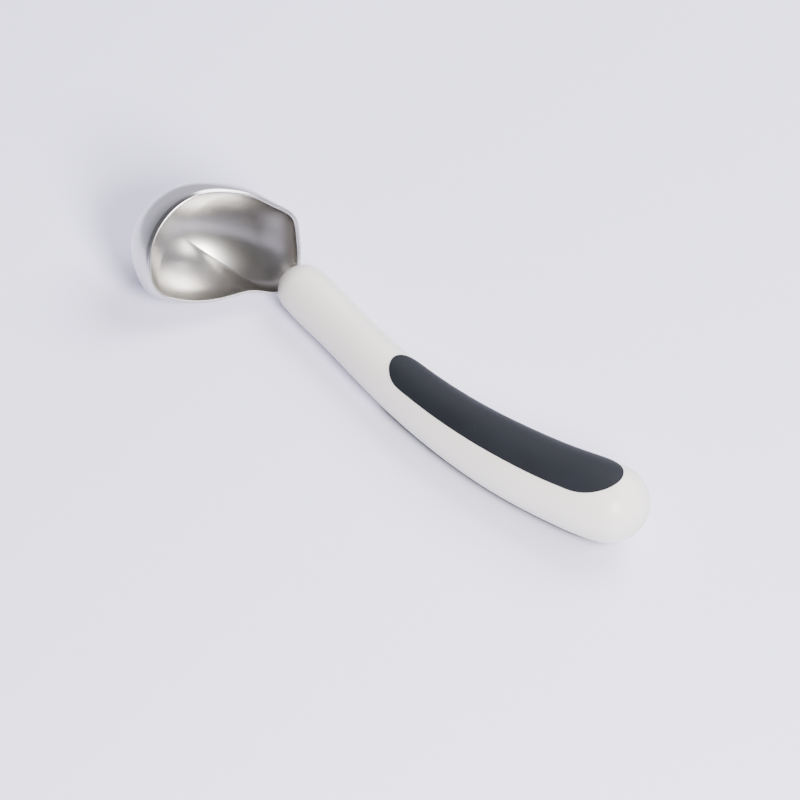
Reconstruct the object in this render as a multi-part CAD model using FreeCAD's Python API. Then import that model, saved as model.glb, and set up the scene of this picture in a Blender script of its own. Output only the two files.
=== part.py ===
import FreeCAD, Part
import math
import os

# Scooping spoon: a deep pressed steel bowl set at an angle on a thick curved handle.
# All lengths are millimetres and all angles degrees. While it is built, the handle's
# axis starts at the origin, runs along +X and then curves towards +Y, with +Z up.
# rest() lays the finished solids down as the spoon lies on a table.

# Handle
AXIS_STRAIGHT = 36.0       # straight front part of the axis
AXIS_ARC_RADIUS = 200.0    # radius of the curved rest of the axis
AXIS_ARC_LENGTH = 97.5     # length of the curved rest of the axis
FRONT_RADIUS = 8.7         # half width at the front dome
WAIST_RADIUS = 8.8         # half width where the curve starts
TAIL_RADIUS = 13.6         # half width at the tail dome
FLATNESS = 0.93            # half height divided by half width

# Grip pads, one let into each flat side of the handle
PAD_START = 45.0           # distance along the axis to the front end of a pad
PAD_BACK = 11.1            # distance of a pad's tail end from the handle's tail end
PAD_COVER = 0.78           # half width of a pad divided by half width of the handle
PAD_TURN = 16.0            # turn of the pads round the handle, towards the bend
PAD_DEPTH = 1.6            # how deep a pad is let into the handle
PAD_PROUD = 0.25           # how far a pad stands out of the handle
PAD_NOSE = 9.0             # length of the rounded front end
PAD_TAIL = 14.0            # length of the rounded tail end

# Bowl outline, measured from the neck in the plane of the rim
BOWL_LENGTH = 54.0         # neck to tip
INNER_WIDTH = 20.0         # half width on the shoulder side
OUTER_WIDTH = 23.6         # half width on the flared side
INNER_SHOULDER = 9.0       # distance of the shoulder from the neck
OUTER_SHOULDER = 42.0      # distance of the flared corner from the neck
BOWL_DEPTH = 25.0          # depth below the rim
BOWL_BULGE = 0.08          # how far the wall swells out below the rim, as a share of the rim
BOWL_ROUNDING = 0.55       # share of the depth by which the outline has become an ellipse
BOWL_FILL = 0.3            # share of that rounding which the hollow side of the outline takes
BOWL_LEAN = 0.17           # sideways lean of the bowl's depth towards the flared side
BOWL_RAKE = 0.16           # lean of the bowl's depth towards the tip
SHEET = 1.2                # thickness of the steel

# Setting of the bowl on the handle
NECK_SINK = 2.2            # how far the start of the rim is sunk in the front dome
BOWL_TURN = 51.6           # turn of the bowl sideways from straight ahead
BOWL_RISE = 38.7           # rise of the bowl's length above the handle's axis
BOWL_ROLL = 51.7           # roll of the bowl about its own length

# Shank
NECK_WIDTH = 11.0          # width of the neck where it leaves the bowl
NECK_THICKNESS = 2.6       # thickness of the neck where it leaves the bowl
TANG_WIDTH = 8.0           # width of the tang inside the handle
TANG_THICKNESS = 2.5       # thickness of the tang
TANG_LENGTH = 34.0         # depth of the tang behind the origin

# Rest
REST_ROLL = 8.59           # roll of the built spoon about X as it lies
REST_PITCH = -0.81         # pitch of the built spoon about Y as it lies

V = FreeCAD.Vector
UP = V(0, 0, 1)


def axis_length():
    return AXIS_STRAIGHT + AXIS_ARC_LENGTH


def axis_at(s):
    """Point and unit direction of the handle's axis at distance s, straight past its ends."""
    if s <= AXIS_STRAIGHT:
        return V(s, 0, 0), V(1, 0, 0)
    turn = (min(s, axis_length()) - AXIS_STRAIGHT) / AXIS_ARC_RADIUS
    along = V(math.cos(turn), math.sin(turn), 0)
    point = V(AXIS_STRAIGHT + AXIS_ARC_RADIUS * math.sin(turn),
              AXIS_ARC_RADIUS * (1 - math.cos(turn)), 0)
    return point + along * max(s - axis_length(), 0.0), along


def pad_end():
    """Distance along the axis to the tail end of a pad."""
    return axis_length() + TAIL_RADIUS - PAD_BACK


def neck_reach():
    """How far in front of the origin the rim begins."""
    return FRONT_RADIUS - NECK_SINK


def smooth(t):
    t = min(max(t, 0.0), 1.0)
    return t * t * (3 - 2 * t)


def half_width(s):
    """Half width of the handle at distance s along its axis."""
    early = FRONT_RADIUS + (WAIST_RADIUS - FRONT_RADIUS) * smooth(s / AXIS_STRAIGHT)
    late = smooth((s - 0.6 * AXIS_STRAIGHT) / (axis_length() - 0.6 * AXIS_STRAIGHT))
    return early + (TAIL_RADIUS - WAIST_RADIUS) * late


def ring(s, a, b):
    """Elliptical section across the handle's axis at s, half width a, half height b."""
    point, along = axis_at(s)
    side = UP.cross(along)
    count = 16
    points = []
    for i in range(count):
        t = 2 * math.pi * i / count
        points.append(point + side * (a * math.cos(t)) + UP * (b * math.sin(t)))
    curve = Part.BSplineCurve()
    curve.interpolate(points, PeriodicFlag=True)
    return Part.Wire([curve.toShape()])


def handle_skin(grow):
    """Solid of the handle's outer form, with both ends domed, grown outward by grow."""
    rings = []
    front = FRONT_RADIUS + grow
    tail = TAIL_RADIUS + grow
    lean = (83, 68, 52, 36, 18)
    for degrees in lean:
        t = math.radians(degrees)
        rings.append((-front * math.sin(t), front * math.cos(t)))
    count = 9
    for i in range(count):
        s = axis_length() * i / (count - 1)
        rings.append((s, half_width(s) + grow))
    for degrees in reversed(lean):
        t = math.radians(degrees)
        rings.append((axis_length() + tail * math.sin(t), tail * math.cos(t)))
    wires = [ring(s, a, a * FLATNESS) for s, a in rings]
    return Part.makeLoft(wires, True, False)


def pad_outline():
    """Closed wire of a pad's outline, seen from above, on the plane Z = 0."""
    left, right = [], []
    count = 24
    for i in range(count + 1):
        s = PAD_START + (pad_end() - PAD_START) * (1 - math.cos(math.pi * i / count)) / 2
        nose = min((s - PAD_START) / PAD_NOSE, 1.0)
        tail = min((pad_end() - s) / PAD_TAIL, 1.0)
        blunt = math.sqrt(1 - (1 - nose) ** 2) * math.sqrt(1 - (1 - tail) ** 2)
        reach = PAD_COVER * half_width(s) * blunt
        point, along = axis_at(s)
        side = UP.cross(along)
        left.append(point + side * reach)
        right.append(point - side * reach)
    loop = left + right[-2:0:-1]
    curve = Part.BSplineCurve()
    curve.interpolate(loop, PeriodicFlag=True)
    return Part.Wire([curve.toShape()])


def pad_block(above):
    """Upright block under a pad's outline, on one flat side of the handle."""
    middle = axis_at((PAD_START + pad_end()) / 2)[1]
    facing = FreeCAD.Rotation(middle, -PAD_TURN).multVec(UP)
    tall = 2 * TAIL_RADIUS
    return Part.Face(pad_outline()).extrude(facing * (tall if above else -tall))


def bowl_frame():
    """Directions along the bowl, across it and out of its opening."""
    turn = math.radians(BOWL_TURN)
    rise = math.radians(BOWL_RISE)
    along = V(-math.cos(rise) * math.cos(turn), -math.cos(rise) * math.sin(turn), math.sin(rise))
    upward = (UP - along * UP.dot(along)).normalize()
    level = upward.cross(along)
    roll = math.radians(BOWL_ROLL)
    opening = upward * math.cos(roll) + level * math.sin(roll)
    return along, opening.cross(along), opening


def bowl_points():
    """Outline of the rim as (along, across) pairs, once round from the neck."""
    half = NECK_WIDTH / 2
    tip = BOWL_LENGTH
    near, far = INNER_SHOULDER, OUTER_SHOULDER
    return [
        (0.0, -half),
        (0.6 * near, -0.70 * INNER_WIDTH),
        (1.1 * near, -0.94 * INNER_WIDTH),
        (0.32 * tip, -0.99 * INNER_WIDTH),
        (0.50 * tip, -INNER_WIDTH),
        (0.68 * tip, -0.90 * INNER_WIDTH),
        (0.88 * tip, -0.62 * INNER_WIDTH),
        (0.98 * tip, -0.20 * INNER_WIDTH),
        (tip, 0.28 * OUTER_WIDTH),
        (0.93 * tip, 0.70 * OUTER_WIDTH),
        (far, OUTER_WIDTH),
        (0.84 * far, 0.985 * OUTER_WIDTH),
        (0.62 * far, 0.86 * OUTER_WIDTH),
        (0.42 * far, 0.64 * OUTER_WIDTH),
        (0.22 * far, 0.40 * OUTER_WIDTH),
        (0.0, half),
    ]


def bowl_swell(t):
    """Size of the bowl's outline at t, its share of the depth."""
    return math.sqrt(1 - t ** 2.4) * (1 + BOWL_BULGE * 6.75 * t * (1 - t) ** 2)


def bowl_ring(scale, depth):
    """Closed wire of the bowl's outline, scaled about its middle, at a depth."""
    along, across, opening = bowl_frame()
    start = V(-neck_reach(), 0, 0)
    mid_u = 0.53 * BOWL_LENGTH
    mid_v = (OUTER_WIDTH - INNER_WIDTH) / 2
    long = BOWL_LENGTH / 2
    wide = (OUTER_WIDTH + INNER_WIDTH) / 2
    sink = along * BOWL_RAKE + across * BOWL_LEAN - opening
    rounded = smooth(depth / (BOWL_ROUNDING * BOWL_DEPTH))
    points = []
    for u, v in bowl_points():
        du, dv = u - mid_u, v - mid_v
        change = 1 / math.hypot(du / long, dv / wide) - 1
        size = scale * (1 + rounded * change * (BOWL_FILL if change > 0 else 1.0))
        place = along * (mid_u + du * size) + across * (mid_v + dv * size)
        points.append(start + place + sink * depth)
    curve = Part.BSplineCurve()
    curve.interpolate(points, PeriodicFlag=True)
    return Part.Wire([curve.toShape()])


def bowl_form(inset, lift):
    """Solid under the rim: the bowl's outside, or its inside when inset and lifted."""
    size = BOWL_LENGTH / 2
    wires = []
    if lift > 0:
        wires.append(bowl_ring(1 - inset / size, -lift))
    for t in (0.0, 0.12, 0.26, 0.42, 0.60, 0.77, 0.90, 0.975, 0.998):
        scale = bowl_swell(t) * (1 - inset / size)
        wires.append(bowl_ring(scale, (BOWL_DEPTH - inset) * t))
    return Part.makeLoft(wires, True, False)


def make_bowl():
    """Pressed bowl: an even sheet, open at the rim."""
    return bowl_form(0.0, 0.0).cut(bowl_form(SHEET, 2.0))


def shank_section(centre, wide, thick, width, thickness):
    """Rounded rectangle across the shank."""
    count = 16
    points = []
    for i in range(count):
        a = 2 * math.pi * i / count
        c, s = math.cos(a), math.sin(a)
        r = (abs(c) ** 4 + abs(s) ** 4) ** -0.25
        points.append(centre + wide * (c * r * width / 2) + thick * (s * r * thickness / 2))
    curve = Part.BSplineCurve()
    curve.interpolate(points, PeriodicFlag=True)
    return Part.Wire([curve.toShape()])


def make_shank():
    """Neck and tang in one bar: it leaves the bowl at the bowl's angle and turns level."""
    along, across, opening = bowl_frame()
    foot = V(-neck_reach(), 0, 0) + along * (2 * SHEET) - opening * NECK_THICKNESS
    neck = Part.makeLoft([
        shank_section(foot, across * -1, opening, NECK_WIDTH, NECK_THICKNESS),
        shank_section(V(-neck_reach() / 2, 0, -SHEET), V(-across.x, -across.y, 0).normalize(), UP,
                      (NECK_WIDTH + TANG_WIDTH) / 2, NECK_THICKNESS),
        shank_section(V(neck_reach() / 2, 0, 0), V(0, 1, 0), UP, TANG_WIDTH, TANG_THICKNESS),
        shank_section(V(neck_reach(), 0, 0), V(0, 1, 0), UP, TANG_WIDTH, TANG_THICKNESS),
    ], True, False)
    corner = V(neck_reach() - SHEET, -TANG_WIDTH / 2, -TANG_THICKNESS / 2)
    tang = Part.makeBox(TANG_LENGTH - corner.x, TANG_WIDTH, TANG_THICKNESS, corner)
    return neck.fuse(tang)


def rest(shape):
    """Turn a built solid to the way the spoon lies, standing on Z = 0."""
    shape.rotate(V(0, 0, 0), V(1, 0, 0), REST_ROLL)
    shape.rotate(V(0, 0, 0), V(0, 1, 0), REST_PITCH)
    return shape


os.makedirs("parts", exist_ok=True)

skin = handle_skin(0.0)
core = handle_skin(-PAD_DEPTH)
swell = handle_skin(PAD_PROUD)
shell = swell.cut(core)
pad_upper = shell.common(pad_block(True))
pad_lower = shell.common(pad_block(False))
bowl = make_bowl()
shank = make_shank().cut(bowl_form(0.0, 0.0))
handle = skin.cut([pad_upper, pad_lower, shank, bowl_form(0.0, 0.0)])

shapes = {
    "bowl": bowl,
    "shank": shank,
    "handle_body": handle,
    "grip_upper": pad_upper,
    "grip_lower": pad_lower,
}
whole = Part.makeCompound([rest(shape) for shape in shapes.values()]).optimalBoundingBox(False)
base = V(-whole.Center.x, -whole.Center.y, -whole.ZMin)
for name, shape in shapes.items():
    shape.translate(base)
    shape.exportStep("parts/" + name + ".step")
    print(name, shape.isValid(), len(shape.Solids), round(shape.Volume, 1))
print("origin of the build frame at", base, "size", whole.XLength, whole.YLength, whole.ZLength)
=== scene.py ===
import math

import bmesh
import bpy
import numpy as np
from mathutils import Matrix, Vector


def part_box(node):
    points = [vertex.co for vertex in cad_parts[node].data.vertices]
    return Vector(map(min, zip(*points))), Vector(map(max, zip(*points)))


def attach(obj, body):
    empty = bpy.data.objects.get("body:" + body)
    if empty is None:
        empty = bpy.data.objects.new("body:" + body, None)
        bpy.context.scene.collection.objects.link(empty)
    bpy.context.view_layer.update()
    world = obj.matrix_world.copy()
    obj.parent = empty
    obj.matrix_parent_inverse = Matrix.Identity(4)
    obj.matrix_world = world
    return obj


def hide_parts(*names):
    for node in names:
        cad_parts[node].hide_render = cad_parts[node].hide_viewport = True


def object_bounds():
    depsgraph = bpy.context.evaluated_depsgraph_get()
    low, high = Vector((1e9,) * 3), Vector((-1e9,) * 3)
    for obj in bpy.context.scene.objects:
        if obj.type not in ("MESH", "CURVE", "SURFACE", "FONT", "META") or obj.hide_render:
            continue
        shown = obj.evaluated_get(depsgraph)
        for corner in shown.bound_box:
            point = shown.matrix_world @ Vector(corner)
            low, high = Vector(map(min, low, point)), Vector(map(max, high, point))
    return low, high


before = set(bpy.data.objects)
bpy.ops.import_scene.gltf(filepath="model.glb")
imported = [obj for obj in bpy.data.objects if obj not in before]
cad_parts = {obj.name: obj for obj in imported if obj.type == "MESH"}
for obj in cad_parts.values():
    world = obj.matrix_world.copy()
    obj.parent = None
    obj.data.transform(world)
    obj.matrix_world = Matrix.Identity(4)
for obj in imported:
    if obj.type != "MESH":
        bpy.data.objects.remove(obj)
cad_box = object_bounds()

bl_info = {
    "name": "Scooping Spoon",
    "version": (1, 0, 0),
    "blender": (4, 5, 0),
    "location": "3D View > Sidebar > Spoon",
    "description": "Gives the packed scooping spoon its finished looks and a studio stage",
    "category": "Object",
}


# ---------------------------------------------------------------- settings

class SpoonLooks(bpy.types.PropertyGroup):
    """Colours and surface sizes of the spoon."""
    steel_color: bpy.props.FloatVectorProperty(
        name="Steel", description="Colour of the polished steel", subtype="COLOR",
        size=3, min=0.0, max=1.0, default=(0.63, 0.62, 0.62))
    # Darker, warmer steel for the bowl's inside: painted shade and reflection of the hollow. The
    # satin finish itself is only in the roughness.
    inside_shade_color: bpy.props.FloatVectorProperty(
        name="Bowl inside", description="Colour of the bowl's satin inside", subtype="COLOR",
        size=3, min=0.0, max=1.0, default=(0.45, 0.435, 0.42))
    handle_color: bpy.props.FloatVectorProperty(
        name="Handle", description="Colour of the moulded handle", subtype="COLOR",
        size=3, min=0.0, max=1.0, default=(0.72, 0.685, 0.65))
    grip_color: bpy.props.FloatVectorProperty(
        name="Grip", description="Colour of the soft pads", subtype="COLOR",
        size=3, min=0.0, max=1.0, default=(0.0055, 0.0066, 0.0100))
    brush_pitch: bpy.props.FloatProperty(
        name="Polish lines", description="Spacing of the faint polishing lines", unit="LENGTH",
        subtype="DISTANCE", min=0.00005, max=0.005, default=0.0006)
    grip_grain: bpy.props.FloatProperty(
        name="Grip grain", description="Size of the soft pads' fine grain", unit="LENGTH",
        subtype="DISTANCE", min=0.00005, max=0.005, default=0.00045)
    smudge_size: bpy.props.FloatProperty(
        name="Smudge size", description="Size of the handling marks", unit="LENGTH",
        subtype="DISTANCE", min=0.001, max=0.2, default=0.022)


class BowlSizes(bpy.types.PropertyGroup):
    """Sizes of the pressed bowl, the same as in the CAD model."""
    length: bpy.props.FloatProperty(
        name="Length", description="Neck to tip", unit="LENGTH", default=0.0540)
    inner_width: bpy.props.FloatProperty(
        name="Inner width", description="Half width on the shoulder side",
        unit="LENGTH", default=0.0200)
    outer_width: bpy.props.FloatProperty(
        name="Outer width", description="Half width on the flared side",
        unit="LENGTH", default=0.0236)
    inner_shoulder: bpy.props.FloatProperty(
        name="Inner shoulder", description="Distance of the shoulder from the neck",
        unit="LENGTH", default=0.0090)
    outer_shoulder: bpy.props.FloatProperty(
        name="Outer shoulder", description="Distance of the flared corner from the neck",
        unit="LENGTH", default=0.0420)
    neck_width: bpy.props.FloatProperty(
        name="Neck width", description="Width of the neck", unit="LENGTH", default=0.0110)
    depth: bpy.props.FloatProperty(
        name="Depth", description="Depth below the rim", unit="LENGTH", default=0.0250)
    sheet: bpy.props.FloatProperty(
        name="Sheet", description="Thickness of the steel", unit="LENGTH", default=0.0012)
    bulge: bpy.props.FloatProperty(name="Bulge", description="Swell of the wall", default=0.08)
    rounding: bpy.props.FloatProperty(
        name="Rounding", description="Share of the depth where the outline is round", default=0.55)
    fill: bpy.props.FloatProperty(
        name="Fill", description="Share of the rounding on the hollow side", default=0.30)
    lean: bpy.props.FloatProperty(
        name="Lean", description="Sideways lean of the depth", default=0.17)
    rake: bpy.props.FloatProperty(
        name="Rake", description="Lean of the depth to the tip", default=0.16)
    turn: bpy.props.FloatProperty(
        name="Turn", description="Turn sideways", subtype="ANGLE", default=math.radians(51.6))
    rise: bpy.props.FloatProperty(
        name="Rise", description="Rise of its length", subtype="ANGLE", default=math.radians(38.7))
    roll: bpy.props.FloatProperty(
        name="Roll", description="Roll about its length", subtype="ANGLE",
        default=math.radians(51.7))
    rest_roll: bpy.props.FloatProperty(
        name="Rest roll", description="Roll of the spoon as it lies", subtype="ANGLE",
        default=math.radians(8.59))
    rest_pitch: bpy.props.FloatProperty(
        name="Rest pitch", description="Pitch of the spoon as it lies", subtype="ANGLE",
        default=math.radians(-0.81))


class StageLooks(bpy.types.PropertyGroup):
    """Floor, lights and camera."""
    floor_color: bpy.props.FloatVectorProperty(
        name="Floor", description="Colour of the floor", subtype="COLOR",
        size=3, min=0.0, max=1.0, default=(0.75, 0.745, 0.92))
    floor_size: bpy.props.FloatProperty(
        name="Floor size", description="Width of the floor", unit="LENGTH",
        subtype="DISTANCE", min=0.5, max=20.0, default=6.0)
    view_width: bpy.props.FloatProperty(
        name="View width", description="Width of the view at the spoon", unit="LENGTH",
        subtype="DISTANCE", min=0.05, max=2.0, default=0.264)
    camera_distance: bpy.props.FloatProperty(
        name="Camera distance", description="Distance from the camera to the spoon", unit="LENGTH",
        subtype="DISTANCE", min=0.3, max=10.0, default=6.0)
    key_power: bpy.props.FloatProperty(
        name="Key power", description="Power in watts of the soft light in front of the spoon",
        min=0.0, max=1000.0, default=34.0)
    fill_power: bpy.props.FloatProperty(
        name="Fill power", description="Power in watts of the soft light behind the spoon",
        min=0.0, max=1000.0, default=26.0)


# ---------------------------------------------------------------- shader maths

class Wire:
    """A socket that can be added, subtracted, multiplied, divided and raised."""

    def __init__(self, tree, socket):
        self.tree = tree
        self.socket = socket

    def _math(self, operation, left, right):
        """One math node on two wires or numbers."""
        node = self.tree.nodes.new("ShaderNodeMath")
        node.operation = operation
        for index, value in enumerate((left, right)):
            if isinstance(value, Wire):
                self.tree.links.new(value.socket, node.inputs[index])
            else:
                node.inputs[index].default_value = value
        return Wire(self.tree, node.outputs[0])

    def __add__(self, other):
        return self._math("ADD", self, other)

    def __radd__(self, other):
        return self._math("ADD", other, self)

    def __sub__(self, other):
        return self._math("SUBTRACT", self, other)

    def __rsub__(self, other):
        return self._math("SUBTRACT", other, self)

    def __mul__(self, other):
        return self._math("MULTIPLY", self, other)

    def __rmul__(self, other):
        return self._math("MULTIPLY", other, self)

    def __truediv__(self, other):
        return self._math("DIVIDE", self, other)

    def __rtruediv__(self, other):
        return self._math("DIVIDE", other, self)

    def __pow__(self, other):
        return self._math("POWER", self, other)

    def __rpow__(self, other):
        return self._math("POWER", other, self)


# Sockets of the Mix node that carry colours.
MIX_FIRST, MIX_SECOND, MIX_COLOR_OUT = 6, 7, 2


class Shader:
    """A material's node tree, with one way to add any node."""

    def __init__(self, name):
        self.material = bpy.data.materials.new(name)
        self.material.use_nodes = True
        self.tree = self.material.node_tree
        self.tree.nodes.clear()
        output = self.tree.nodes.new("ShaderNodeOutputMaterial")
        self.surface = self.tree.nodes.new("ShaderNodeBsdfPrincipled")
        self.tree.links.new(self.surface.outputs[0], output.inputs["Surface"])
        texture = self.tree.nodes.new("ShaderNodeTexCoord")
        self.place = Wire(self.tree, texture.outputs["Object"])

    def put(self, socket, value):
        """Link a wire to a socket, or set the socket to a constant."""
        if isinstance(value, Wire):
            self.tree.links.new(value.socket, socket)
        else:
            socket.default_value = value

    def node(self, kind, settings, inputs, output=0):
        """Add any node: its type, its settings, then its sockets by name or index."""
        made = self.tree.nodes.new(kind)
        for name, value in settings.items():
            setattr(made, name, value)
        for key, value in inputs.items():
            self.put(made.inputs[key], value)
        return Wire(self.tree, made.outputs[output])

    def attribute(self, name):
        """A number that the mesh stores on its points. It is 0 on a mesh without it."""
        return self.node("ShaderNodeAttribute", {"attribute_name": name}, {}, "Fac")

    def noise(self, size, detail, rough, vector=None):
        """Noise of that size in metres, from 0 to 1."""
        return self.node("ShaderNodeTexNoise", {}, {
            "Vector": vector or self.place, "Scale": 1.0 / size,
            "Detail": detail, "Roughness": rough}, "Fac")

    def stretch(self, factors):
        """Object coordinates multiplied by three factors."""
        return self.node("ShaderNodeVectorMath", {"operation": "MULTIPLY"},
                         {0: self.place, 1: factors})

    def ramp(self, value, low, high):
        """0 below low, 1 above high, and straight between them."""
        return self.node("ShaderNodeMapRange", {"clamp": True},
                         {"Value": value, "From Min": low, "From Max": high})

    def blend(self, factor, first, second):
        """Colour from first to second. A plain colour is three numbers."""
        ends = [c if isinstance(c, Wire) else (*c, 1.0) for c in (first, second)]
        return self.node("ShaderNodeMix", {"data_type": "RGBA"},
                         {0: factor, MIX_FIRST: ends[0], MIX_SECOND: ends[1]}, MIX_COLOR_OUT)

    def bump(self, height, distance, under=None):
        """Normal of a surface raised by height times distance, over another normal if given."""
        inputs = {"Height": height, "Distance": distance}
        if under is not None:
            inputs["Normal"] = under
        return self.node("ShaderNodeBump", {}, inputs)

    def finish(self, inputs):
        """Set the surface's sockets and return the material."""
        for name, value in inputs.items():
            self.put(self.surface.inputs[name], value)
        return self.material


def shade(color, factor):
    """A colour made darker or lighter."""
    return tuple(min(1.0, c * factor) for c in color)


# ---------------------------------------------------------------- materials

# Factors on the object's axes. A small one draws the marks out along that axis.
LINE_STRETCH = (0.25, 1.0, 1.6)
SCRATCH_STRETCH = (1.8, 0.2, 0.9)
SCRATCH_SHARE = 0.45        # size of the scratches, as a share of the polishing lines
TONE_SHARE = 1.6            # size of the handle's change of tone, as a share of the smudges
# Sizes of the other textures, in metres.
PLASTIC_SPECK = 0.0007      # the plastic's faint specks
PLASTIC_SKIN = 0.00035      # the plastic's moulded texture
PLASTIC_SWELL = 0.018       # the plastic's gentle unevenness
DUST_SIZE = 0.0011          # specks of dust on the pads
PAPER_TONE = 0.35           # the floor's change of tone
PAPER_TOOTH = 0.0006        # the floor's grain
# Heights of the textures that bend the light, in metres.
LINE_HEIGHT = 0.0000015
HAZE_HEIGHT = 0.00001
SKIN_HEIGHT = 0.000008
SWELL_HEIGHT = 0.00010
GRAIN_HEIGHT = 0.000022
TOOTH_HEIGHT = 0.00001


def steel_material(looks):
    """Polished stainless steel with faint polishing lines, haze and fine scratches, and a darker
    colour on the bowl's inside that is painted shade of the hollow.
    """
    s = Shader("polished_steel")
    pitch, steel = looks.brush_pitch, looks.steel_color
    lines = s.noise(pitch, 2.0, 0.5, s.stretch(LINE_STRETCH))
    haze = s.noise(looks.smudge_size, 3.0, 0.55)
    fine = s.noise(pitch * SCRATCH_SHARE, 2.0, 0.5, s.stretch(SCRATCH_STRETCH))
    scratch = s.ramp(fine, 0.66, 0.74)
    inside = s.attribute("inside")
    color = s.blend(s.ramp(haze, 0.3, 0.7), shade(steel, 0.98), shade(steel, 1.02))
    marks = 0.02 * s.ramp(haze, 0.35, 0.7) + 0.04 * lines + 0.03 * scratch
    return s.finish({
        # Painted shade: the bowl's inside takes the darker inside colour in place of the hollow's
        # shade.
        "Base Color": s.blend(inside, color, looks.inside_shade_color),
        "Metallic": 1.0,
        "Roughness": 0.22 + 0.05 * inside + marks,
        "Normal": s.bump(lines, LINE_HEIGHT, s.bump(haze, HAZE_HEIGHT)),
    })


def handle_material(looks):
    """Warm white moulded plastic with a satin spark-eroded skin."""
    s = Shader("handle_plastic")
    handle = looks.handle_color
    tone = s.noise(looks.smudge_size * TONE_SHARE, 3.0, 0.55)
    speck = s.noise(PLASTIC_SPECK, 2.0, 0.6)
    skin = s.noise(PLASTIC_SKIN, 2.0, 0.5)
    swell = s.noise(PLASTIC_SWELL, 1.0, 0.4)
    color = s.blend(s.ramp(tone, 0.3, 0.7), shade(handle, 0.975), shade(handle, 1.02))
    return s.finish({
        "Base Color": s.blend(0.05 * s.ramp(speck, 0.62, 0.72), color, shade(handle, 0.75)),
        "Roughness": 0.36 + 0.10 * s.ramp(tone, 0.35, 0.7) + 0.05 * skin,
        "Normal": s.bump(skin, SKIN_HEIGHT, s.bump(swell, SWELL_HEIGHT)),
        "IOR": 1.46,
        "Coat Weight": 0.12,
        "Subsurface Weight": 0.06,
        "Subsurface Radius": (0.004, 0.003, 0.002),
        "Subsurface Scale": 1.0,
    })


def grip_material(looks):
    """Charcoal soft elastomer: matte, finely grained, a little paler where it is handled."""
    s = Shader("grip_elastomer")
    grip = looks.grip_color
    grain = s.noise(looks.grip_grain, 3.0, 0.6)
    wear = s.noise(looks.smudge_size, 4.0, 0.6)
    dust = s.ramp(s.noise(DUST_SIZE, 2.0, 0.7), 0.70, 0.78)
    color = s.blend(s.ramp(wear, 0.35, 0.75), shade(grip, 0.92), shade(grip, 1.22))
    return s.finish({
        "Base Color": s.blend(0.03 * dust, color, shade(looks.handle_color, 0.55)),
        "Roughness": 0.55 + 0.10 * grain + 0.08 * s.ramp(wear, 0.3, 0.7),
        "Normal": s.bump(grain, GRAIN_HEIGHT),
        "IOR": 1.45,
        "Specular IOR Level": 0.25,
    })


def floor_material(stage):
    """Pale matte paper."""
    s = Shader("floor_paper")
    floor = stage.floor_color
    tone = s.noise(PAPER_TONE, 2.0, 0.5)
    tooth = s.noise(PAPER_TOOTH, 2.0, 0.5)
    return s.finish({
        "Base Color": s.blend(s.ramp(tone, 0.2, 0.8), shade(floor, 0.992), shade(floor, 1.008)),
        "Roughness": 0.62 + 0.03 * tooth,
        "Normal": s.bump(tooth, TOOTH_HEIGHT),
    })


# ---------------------------------------------------------------- bowl mesh

RING_POINTS = 192      # points round the bowl
WALL_RINGS = 72        # rings down each wall
RIM_RINGS = 10         # rings over the rounded rim
BOWL_MIDDLE = 0.53     # middle of the outline, as a share of the length from the neck
WALL_POWER = 2.4       # power of the depth in the wall's curve, which is an ellipse at 2
SWELL_PEAK = 6.75      # makes t * (1 - t) ** 2 peak at 1


def closed_spline(points, count):
    """Points of the smooth closed curve through some points, evenly spread over its parameter."""
    points = np.array(points, float)
    n = len(points)
    gaps = np.linalg.norm(np.roll(points, -1, 0) - points, axis=1)
    before = np.roll(gaps, 1)
    rows = np.zeros((n, n))
    for i in range(n):
        rows[i, i - 1] = before[i]
        rows[i, i] = 2 * (before[i] + gaps[i])
        rows[i, (i + 1) % n] = gaps[i]
    rise = (np.roll(points, -1, 0) - points) / gaps[:, None]
    bend = np.linalg.solve(rows, 6 * (rise - np.roll(rise, 1, 0)))
    starts = np.concatenate([[0.0], np.cumsum(gaps)])
    made = []
    for place in np.arange(count) * starts[-1] / count:
        i = min(int(np.searchsorted(starts, place, "right")) - 1, n - 1)
        j, h = (i + 1) % n, gaps[i]
        b = (place - starts[i]) / h
        a = 1 - b
        curve = (a ** 3 - a) * bend[i] + (b ** 3 - b) * bend[j]
        made.append(a * points[i] + b * points[j] + curve * h * h / 6)
    return np.array(made)


def bowl_outline(b):
    """Outline of the rim as (along, across) pairs, once round from the neck."""
    half, tip, near, far = b.neck_width / 2, b.length, b.inner_shoulder, b.outer_shoulder
    inner, outer = b.inner_width, b.outer_width
    return closed_spline([
        (0.0, -half), (0.6 * near, -0.70 * inner), (1.1 * near, -0.94 * inner),
        (0.32 * tip, -0.99 * inner), (0.50 * tip, -inner), (0.68 * tip, -0.90 * inner),
        (0.88 * tip, -0.62 * inner), (0.98 * tip, -0.20 * inner), (tip, 0.28 * outer),
        (0.93 * tip, 0.70 * outer), (far, outer), (0.84 * far, 0.985 * outer),
        (0.62 * far, 0.86 * outer), (0.42 * far, 0.64 * outer), (0.22 * far, 0.40 * outer),
        (0.0, half),
    ], RING_POINTS)


def bowl_axes(b):
    """Directions along the bowl, across it and out of its opening, as the spoon lies."""
    along = Vector((-math.cos(b.rise) * math.cos(b.turn), -math.cos(b.rise) * math.sin(b.turn),
                    math.sin(b.rise)))
    upward = (Vector((0, 0, 1)) - along * along.z).normalized()
    opening = upward * math.cos(b.roll) + upward.cross(along) * math.sin(b.roll)
    lie = Matrix.Rotation(b.rest_pitch, 3, "Y") @ Matrix.Rotation(b.rest_roll, 3, "X")
    return [np.array(lie @ v) for v in (along, opening.cross(along), opening)]


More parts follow.
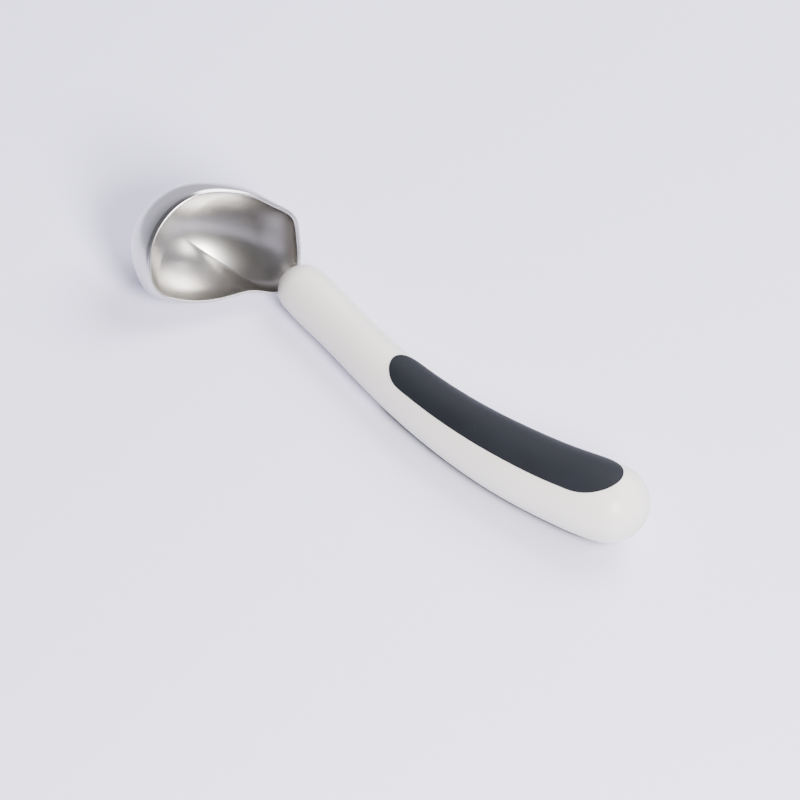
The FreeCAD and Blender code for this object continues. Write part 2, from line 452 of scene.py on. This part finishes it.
def bowl_vertices(b):
    """Rings from the outer pole up the outside, over the rounded rim and down to the inner pole."""
    along, across, opening = bowl_axes(b)
    outline = bowl_outline(b)
    long, wide = b.length / 2, (b.inner_width + b.outer_width) / 2
    middle = np.array((BOWL_MIDDLE * b.length, (b.outer_width - b.inner_width) / 2))
    offset = outline - middle
    change = 1 / np.hypot(offset[:, 0] / long, offset[:, 1] / wide) - 1
    change = np.where(change > 0, change * b.fill, change)
    sink = along * b.rake + across * b.lean - opening

    def ring(scale, depth):
        """The outline, scaled about its middle and rounded towards an ellipse, at a depth."""
        share = min(max(depth / (b.rounding * b.depth), 0.0), 1.0)
        rounded = share * share * (3 - 2 * share)
        flat = middle + offset * (scale * (1 + rounded * change))[:, None]
        return flat[:, :1] * along + flat[:, 1:] * across + sink * depth

    def wall(inset, start):
        """Rings of the outside, or of the inside when inset, from a starting depth down."""
        rings = []
        low = math.asin((start / (b.depth - inset)) ** (WALL_POWER / 2))
        for i in range(WALL_RINGS):
            angle = low + (math.pi / 2 - low) * i / WALL_RINGS
            t = math.sin(angle) ** (2 / WALL_POWER)
            swell = math.cos(angle) * (1 + b.bulge * SWELL_PEAK * t * (1 - t) ** 2)
            rings.append(ring(swell * (1 - inset / long), (b.depth - inset) * t))
        return rings

    half = b.sheet / 2
    rim = []
    for i in range(1, RIM_RINGS):
        angle = math.pi * i / RIM_RINGS
        rim.append(ring(1 - half * (1 - math.cos(angle)) / long, half * (1 - math.sin(angle))))
    rings = wall(0.0, half)[::-1] + rim + wall(b.sheet, half)
    poles = [middle[0] * along + middle[1] * across + sink * deep
             for deep in (b.depth, b.depth - b.sheet)]
    return rings, poles


def make_bowl(b):
    """The bowl as one closed mesh, fitted to the CAD bowl's box."""
    rings, poles = bowl_vertices(b)
    points = np.concatenate(rings + [np.array(poles)])
    low, high = (np.array(corner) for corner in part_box("bowl"))
    points = low + (points - points.min(0)) * (high - low) / np.ptp(points, axis=0)
    count, n = len(rings), RING_POINTS
    first, last = count * n, count * n + 1
    faces = []
    for i in range(count - 1):
        for j in range(n):
            k = (j + 1) % n
            faces.append((i * n + j, i * n + k, (i + 1) * n + k, (i + 1) * n + j))
    for j in range(n):
        k = (j + 1) % n
        faces.append((first, k, j))
        faces.append((last, (count - 1) * n + j, (count - 1) * n + k))
    made = new_piece("bowl_pressing", points, faces)
    # Inside mask: 0 on the outside, rising over the rim to 1 on the inside. It gives the inside its
    # satin roughness and its painted shade.
    shares = np.clip((np.arange(count) - WALL_RINGS) / RIM_RINGS, 0, 1)
    values = np.append(np.repeat(shares, n), (0.0, 1.0)).astype(np.float32)
    made.data.attributes.new("inside", "FLOAT", "POINT").data.foreach_set("value", values)
    return made


def new_piece(name, points, faces):
    """A smooth object at the origin whose faces all look outward."""
    mesh = bpy.data.meshes.new(name)
    mesh.from_pydata([tuple(p) for p in points], [], faces)
    work = bmesh.new()
    work.from_mesh(mesh)
    bmesh.ops.recalc_face_normals(work, faces=work.faces)
    if work.calc_volume(signed=True) < 0:
        bmesh.ops.reverse_faces(work, faces=work.faces)
    work.to_mesh(mesh)
    work.free()
    mesh.shade_smooth()
    made = bpy.data.objects.new(name, mesh)
    bpy.context.scene.collection.objects.link(made)
    return made


def dress(nodes, material):
    """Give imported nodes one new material."""
    for name in nodes:
        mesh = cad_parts[name].data
        mesh.materials.clear()
        mesh.materials.append(material)


# ---------------------------------------------------------------- operators

class SPOON_OT_shank(bpy.types.Operator):
    """Finish the steel shank."""
    bl_idname = "spoon.shank"
    bl_label = "Finish Shank"

    def execute(self, context):
        dress(("shank",), steel_material(context.scene.spoon_looks))
        return {"FINISHED"}


class SPOON_OT_bowl(bpy.types.Operator):
    """Make the pressed bowl with its rounded rim."""
    bl_idname = "spoon.bowl"
    bl_label = "Make Bowl"

    def execute(self, context):
        bowl = make_bowl(context.scene.spoon_bowl)
        bowl.data.materials.append(steel_material(context.scene.spoon_looks))
        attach(bowl, "root")
        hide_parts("bowl")
        return {"FINISHED"}


class SPOON_OT_handle(bpy.types.Operator):
    """Finish the moulded handle."""
    bl_idname = "spoon.handle"
    bl_label = "Finish Handle"

    def execute(self, context):
        dress(("handle_body",), handle_material(context.scene.spoon_looks))
        return {"FINISHED"}


class SPOON_OT_grips(bpy.types.Operator):
    """Finish the soft pads."""
    bl_idname = "spoon.grips"
    bl_label = "Finish Grips"

    def execute(self, context):
        dress(("grip_upper", "grip_lower"), grip_material(context.scene.spoon_looks))
        return {"FINISHED"}


# ---------------------------------------------------------------- stage

SENSOR_WIDTH = 36.0    # camera sensor in millimetres
CAMERA_REACH = 50.0    # furthest distance that the camera shows, in metres
FLOOR_GAP = 0.0001     # drop of the floor below the spoon, in metres
# Directions of the camera's right and backward axes in the spoon's frame.
VIEW_RIGHT = Vector((0.6323, 0.7643, 0.1244)).normalized()
VIEW_BACK = Vector((0.4326, -0.4819, 0.7618)).normalized()
# Floor point in the middle of the view, from the spoon's centre, as shares of its
# length and width.
VIEW_MIDDLE = (0.005, 0.092)
# The soft lights, with places and sizes in metres. The front one's place is along the
# camera's right, up and backward axes. The back one's is to the right, away and up, level
# with the floor. Both are from the middle of the view.
FRONT_PLACE = (0.35, -0.12, 1.0)
FRONT_SIZE = (0.36, 0.50)
FRONT_COLOR = (1.0, 0.98, 0.95)
BACK_PLACE = (0.45, 0.55, 0.95)
BACK_SIZE = (0.9, 0.9)
BACK_COLOR = (0.97, 0.975, 1.0)
# Colours of the room, each from a share of facing the camera's backward axis.
ROOM_BRIGHT = (0.15, (0.90, 0.90, 1.06, 1.0))
ROOM_DARK = (0.80, (0.10, 0.10, 0.11, 1.0))


def from_point(point, axes, steps):
    """A point some steps along three axes from another."""
    return sum((axis * step for axis, step in zip(axes, steps)), point)


def area_light(name, where, target, size, power, color):
    """A rectangular soft light that faces the target."""
    lamp = bpy.data.lights.new(name, "AREA")
    lamp.shape = "RECTANGLE"
    lamp.size, lamp.size_y = size
    lamp.energy = power
    lamp.color = color
    holder = bpy.data.objects.new(name, lamp)
    holder.location = where
    holder.rotation_euler = (target - where).to_track_quat("-Z", "Y").to_euler()
    bpy.context.scene.collection.objects.link(holder)


def make_camera(stage):
    """Set the scene's camera. Returns the point it looks at and its right, up and back."""
    low, high = cad_box
    back = VIEW_BACK
    right = (VIEW_RIGHT - back * VIEW_RIGHT.dot(back)).normalized()
    up = back.cross(right)
    aim = Vector(((low.x + high.x) / 2 + VIEW_MIDDLE[0] * (high.x - low.x),
                  (low.y + high.y) / 2 + VIEW_MIDDLE[1] * (high.y - low.y), low.z))
    data = bpy.data.cameras.new("camera")
    data.sensor_width = SENSOR_WIDTH
    data.lens = SENSOR_WIDTH * stage.camera_distance / stage.view_width
    data.clip_end = CAMERA_REACH
    camera = bpy.data.objects.new("camera", data)
    turn = Matrix((right, up, back)).transposed().to_4x4()
    camera.matrix_world = Matrix.Translation(aim + back * stage.camera_distance) @ turn
    bpy.context.scene.collection.objects.link(camera)
    bpy.context.scene.camera = camera
    return aim, right, up, back


def make_world(back):
    """A room that is bright behind the spoon and dark behind the camera."""
    world = bpy.data.worlds.new("studio")
    world.use_nodes = True
    tree = world.node_tree
    place = tree.nodes.new("ShaderNodeTexCoord")
    facing = tree.nodes.new("ShaderNodeVectorMath")
    facing.operation = "DOT_PRODUCT"
    facing.inputs[1].default_value = back
    ramp = tree.nodes.new("ShaderNodeValToRGB")
    bright, dark = ramp.color_ramp.elements
    bright.position, bright.color = ROOM_BRIGHT
    dark.position, dark.color = ROOM_DARK
    tree.links.new(place.outputs["Generated"], facing.inputs[0])
    tree.links.new(facing.outputs["Value"], ramp.inputs["Fac"])
    tree.links.new(ramp.outputs["Color"], tree.nodes["Background"].inputs["Color"])
    return world


class SPOON_OT_stage(bpy.types.Operator):
    """Make the floor, the soft lights and the camera."""
    bl_idname = "spoon.stage"
    bl_label = "Make Stage"

    def execute(self, context):
        stage = context.scene.spoon_stage
        half = stage.floor_size / 2
        mesh = bpy.data.meshes.new("floor")
        corners = [(-half, -half, 0), (half, -half, 0), (half, half, 0), (-half, half, 0)]
        mesh.from_pydata(corners, [], [(0, 1, 2, 3)])
        floor = bpy.data.objects.new("floor", mesh)
        floor.location.z = cad_box[0][2] - FLOOR_GAP
        context.scene.collection.objects.link(floor)
        mesh.materials.append(floor_material(stage))
        aim, right, up, back = make_camera(stage)
        level = (Vector((right.x, right.y, 0)).normalized(),
                 Vector((-back.x, -back.y, 0)).normalized(), Vector((0, 0, 1)))
        area_light("front_softbox", from_point(aim, (right, up, back), FRONT_PLACE), aim,
                   FRONT_SIZE, stage.key_power, FRONT_COLOR)
        area_light("back_softbox", from_point(aim, level, BACK_PLACE), aim,
                   BACK_SIZE, stage.fill_power, BACK_COLOR)
        context.scene.world = make_world(back)
        return {"FINISHED"}


class SPOON_PT_panel(bpy.types.Panel):
    """Lists the spoon's settings and steps."""
    bl_idname = "SPOON_PT_panel"
    bl_label = "Scooping Spoon"
    bl_space_type = "VIEW_3D"
    bl_region_type = "UI"
    bl_category = "Spoon"

    def draw(self, context):
        layout = self.layout
        scene = context.scene
        for group in (scene.spoon_looks, scene.spoon_bowl, scene.spoon_stage):
            for name in group.__annotations__:
                layout.prop(group, name)
        for operator in OPERATORS:
            layout.operator(operator.bl_idname)


OPERATORS = (SPOON_OT_shank, SPOON_OT_bowl, SPOON_OT_handle, SPOON_OT_grips, SPOON_OT_stage)
CLASSES = (SpoonLooks, BowlSizes, StageLooks, *OPERATORS, SPOON_PT_panel)


def register():
    for each in CLASSES:
        bpy.utils.register_class(each)
    bpy.types.Scene.spoon_looks = bpy.props.PointerProperty(type=SpoonLooks)
    bpy.types.Scene.spoon_bowl = bpy.props.PointerProperty(type=BowlSizes)
    bpy.types.Scene.spoon_stage = bpy.props.PointerProperty(type=StageLooks)


def unregister():
    del bpy.types.Scene.spoon_stage
    del bpy.types.Scene.spoon_bowl
    del bpy.types.Scene.spoon_looks
    for each in reversed(CLASSES):
        bpy.utils.unregister_class(each)


def main():
    register()
    bpy.ops.spoon.shank()
    bpy.ops.spoon.bowl()
    bpy.ops.spoon.handle()
    bpy.ops.spoon.grips()
    bpy.ops.spoon.stage()


if __name__ == "__main__":
    main()
